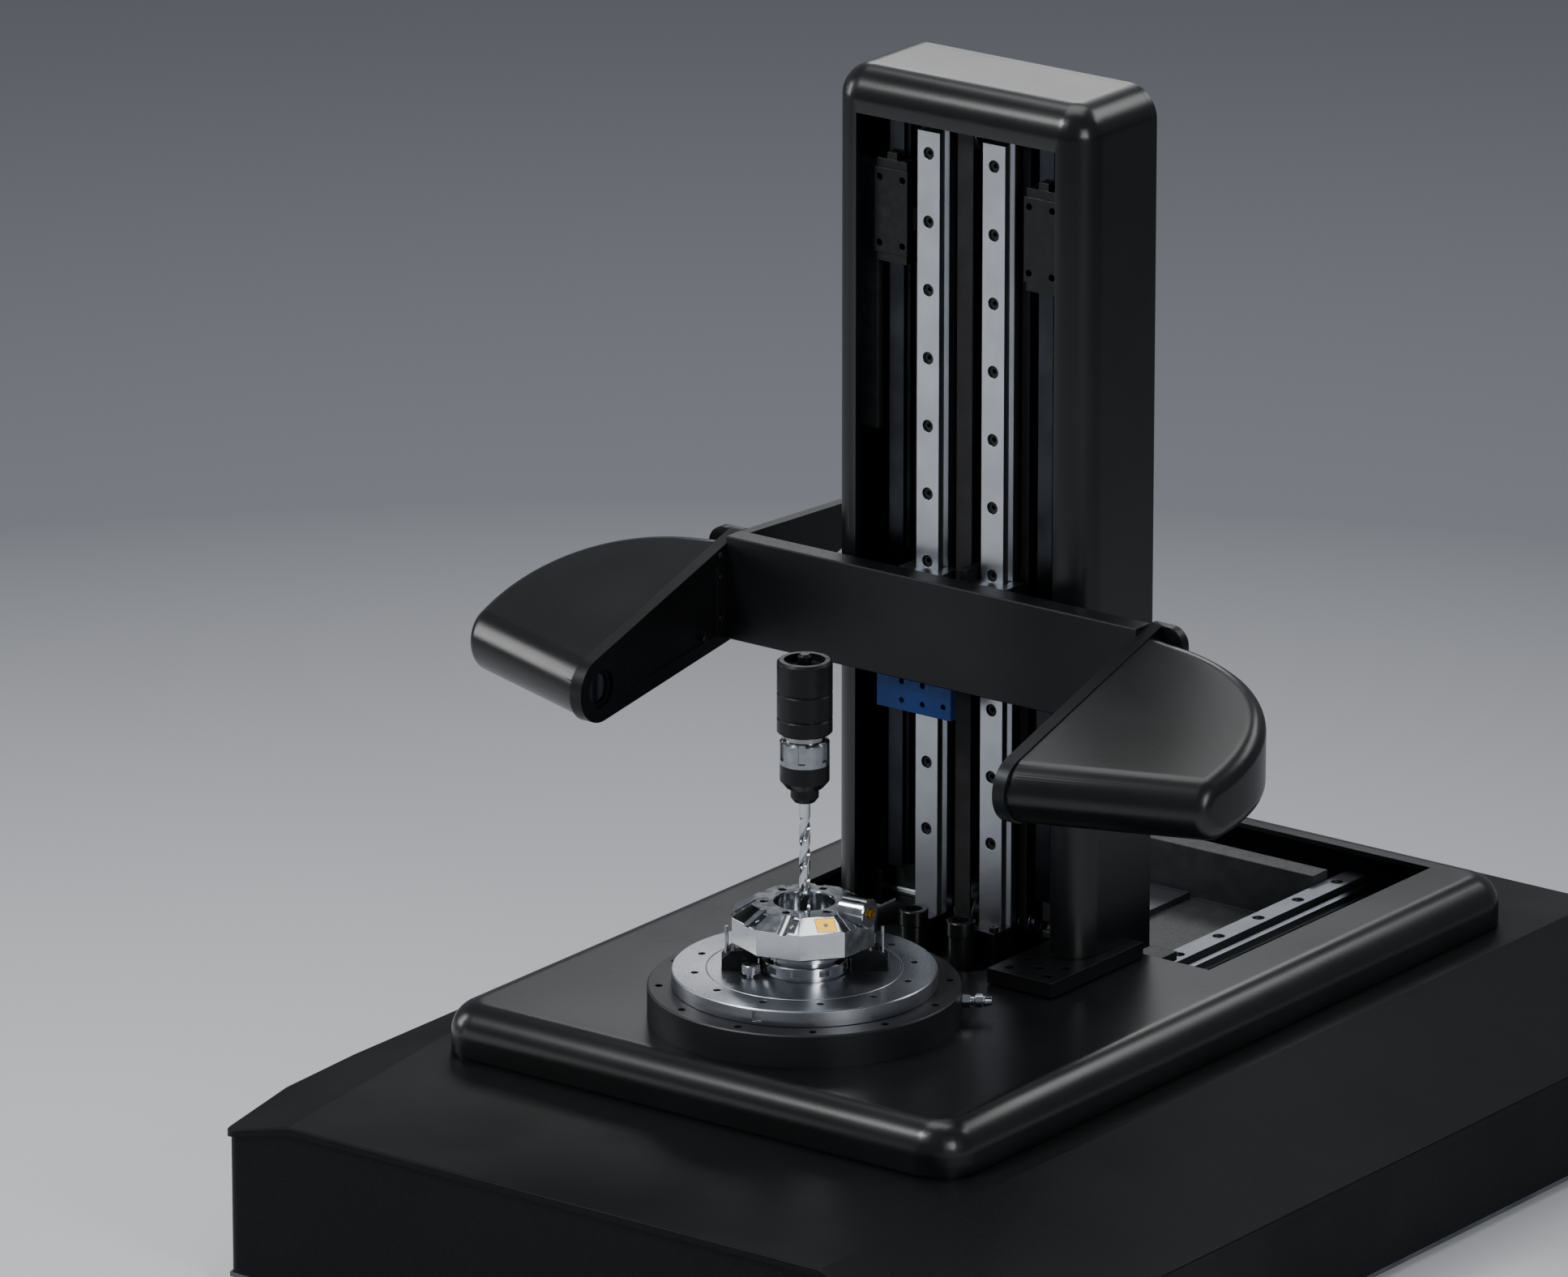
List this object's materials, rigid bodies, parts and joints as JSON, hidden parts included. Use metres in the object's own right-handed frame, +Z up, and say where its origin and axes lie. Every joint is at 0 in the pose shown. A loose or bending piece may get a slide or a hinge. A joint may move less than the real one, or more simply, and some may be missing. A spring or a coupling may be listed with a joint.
{
  "type": "tool presetter",
  "caption": "Tool presetter: a rotary spindle table on a black base, and a sliding column whose carriage holds a camera arm and a lamp arm either side of the tool.",
  "frame": {"origin": "centre of the spindle disc's top face, on the spindle axis", "axes": "+Z up along the spindle axis, -Y towards the operator, +X towards the lamp arm"},
  "size_m": [0.8443, 1.142, 0.965],
  "materials": {
    "powder_coat_black": "fine-textured black powder coat",
    "satin_black_casting": "satin black paint on aluminium",
    "black_anodised": "black anodised aluminium",
    "blue_anodised": "dark blue anodised aluminium",
    "cast_iron_painted": "black painted cast iron",
    "bed_iron": "light grey painted cast iron",
    "steel_plate": "plain rolled steel plate",
    "ground_rail_steel": "ground and hardened rail steel",
    "dark_rail_steel": "black chromated rail steel",
    "turned_stainless": "fine turned stainless steel",
    "polished_nickel": "polished nickel plate",
    "tool_steel": "ground tool steel",
    "black_oxide": "black oxide steel",
    "block_steel": "bright bearing steel with dark end caps",
    "zinc_screw": "zinc plated screw steel",
    "titanium_nitride": "gold titanium nitride coating",
    "motor_iron": "laminated motor iron",
    "rubber_black": "black rubber",
    "belt_rubber": "black toothed belt",
    "lens_glass": "coated optical glass"
  },
  "bodies": {
    "base": {"deck_cover": "powder_coat_black", "base_skirt": "powder_coat_black", "rear_inlet": "powder_coat_black", "bottom_plate": "steel_plate", "levelling_feet": "rubber_black", "machine_bed": "bed_iron", "plinth_cover": "powder_coat_black", "base_rails": "ground_rail_steel", "base_rail_screws": "zinc_screw", "magnet_track": "motor_iron", "table_ring": "black_anodised", "ring_screws": "zinc_screw", "air_nipple": "polished_nickel", "spindle_bearing": "tool_steel", "spindle_motor": "motor_iron"},
    "spindle": {"table_disc": "turned_stainless", "spindle_shaft": "tool_steel", "arbor": "polished_nickel", "arbor_screw": "polished_nickel", "face_mill": "polished_nickel", "mill_inserts": "titanium_nitride", "mill_cartridge": "black_oxide", "hold_down_clamps": "black_oxide", "clamp_bolts": "zinc_screw"},
    "drill_holder": {"chuck_body": "black_oxide", "chuck_nut": "polished_nickel", "collet_nut": "black_oxide", "twist_drill": "tool_steel"},
    "column": {"column_saddle": "cast_iron_painted", "saddle_blocks": "block_steel", "motor_coil": "black_anodised", "foot_plate": "black_anodised", "column_frame": "cast_iron_painted", "column_cover": "powder_coat_black", "column_back_cover": "powder_coat_black", "z_rails": "ground_rail_steel", "z_rail_screws": "zinc_screw", "side_rails": "dark_rail_steel", "rail_foot_blocks": "black_oxide", "buffers": "rubber_black", "drive_belt": "belt_rubber", "weight_belts": "belt_rubber", "z_motor": "black_oxide", "z_scale": "tool_steel"},
    "head_pulleys": {"head_shaft": "tool_steel"},
    "foot_pulleys": {"foot_shaft": "tool_steel"},
    "counterweights": {"weight_runners": "black_oxide", "weight_bars": "cast_iron_painted"},
    "carriage": {"carriage_blocks": "block_steel", "cross_beam": "black_anodised", "drive_plate": "blue_anodised", "belt_clamp": "black_anodised", "read_head": "black_anodised", "cable_bracket": "black_anodised", "lamp_arm_plate": "black_anodised", "camera_arm_plate": "black_anodised", "lamp_arm_cover": "satin_black_casting", "camera_arm_cover": "satin_black_casting", "camera_and_lamp": "black_anodised", "lenses": "lens_glass"}
  },
  "joints": [
    {"name": "spindle_turn", "type": "hinge", "parent": "base", "child": "spindle", "pos_m": [0, 0, 0], "axis": [0, 0, 1], "continuous": true},
    {"name": "drill_lift", "type": "slide", "parent": "spindle", "child": "drill_holder", "axis": [0, 0, 1], "range_m": [0, 0.15]},
    {"name": "column_slide", "type": "slide", "parent": "base", "child": "column", "axis": [0, 1, 0], "range_m": [-0.005, 0.25]},
    {"name": "carriage_slide", "type": "slide", "parent": "column", "child": "carriage", "axis": [0, 0, 1], "range_m": [-0.16, 0.35]},
    {"name": "weight_slide", "type": "slide", "parent": "column", "child": "counterweights", "axis": [0, 0, 1], "range_m": [-0.14, 0.064]},
    {"name": "head_pulley_turn", "type": "hinge", "parent": "column", "child": "head_pulleys", "pos_m": [0, 0.252, 0.684], "axis": [1, 0, 0], "range_deg": [-803, 380]},
    {"name": "foot_pulley_turn", "type": "hinge", "parent": "column", "child": "foot_pulleys", "pos_m": [0, 0.252, -0.018], "axis": [1, 0, 0], "range_deg": [-803, 380]}
  ],
  "couplings": [
    {"joint": "weight_slide", "follows": "carriage_slide", "ratio": -0.4},
    {"joint": "head_pulley_turn", "follows": "carriage_slide", "rad_per_m": -40},
    {"joint": "foot_pulley_turn", "follows": "carriage_slide", "rad_per_m": -40}
  ]
}
